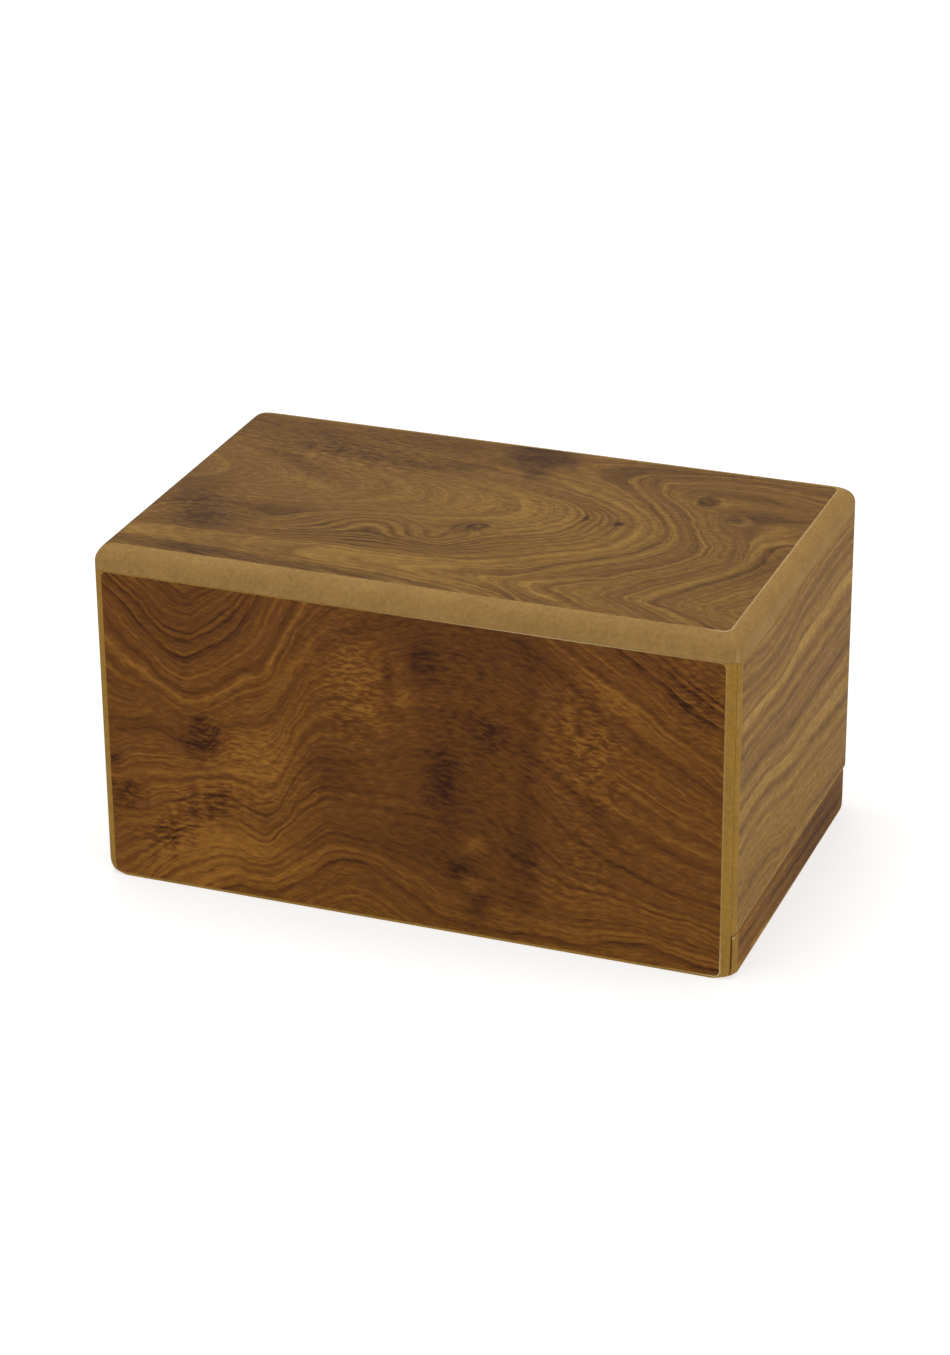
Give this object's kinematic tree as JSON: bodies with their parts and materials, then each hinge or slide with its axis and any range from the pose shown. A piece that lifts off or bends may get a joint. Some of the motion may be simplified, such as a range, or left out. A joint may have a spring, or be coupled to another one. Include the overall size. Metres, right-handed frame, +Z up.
{
  "type": "cremation urn box",
  "caption": "Rectangular cremation urn box faced with burl wood-grain foil, with rounded bare MDF edges and a base that slides out at the right end to reach the chamber.",
  "frame": {"origin": "on the ground under the middle of the box", "axes": "+X to the right along the length, towards the end where the base slides out; -Y to the front; +Z up"},
  "size_m": [0.245, 0.151, 0.133],
  "materials": {
    "burl_foil": "satin printed burl foil on MDF",
    "bare_mdf": "plain MDF"
  },
  "bodies": {
    "box": {"top_panel": "burl_foil", "front_panel": "burl_foil", "back_panel": "burl_foil", "left_panel": "burl_foil", "right_panel": "burl_foil"},
    "base": {"base_board": "bare_mdf", "base_end_strip": "burl_foil"}
  },
  "joints": [
    {"name": "base_slide", "type": "slide", "parent": "box", "child": "base", "axis": [1, 0, 0], "range_m": [0, 0.215]}
  ]
}
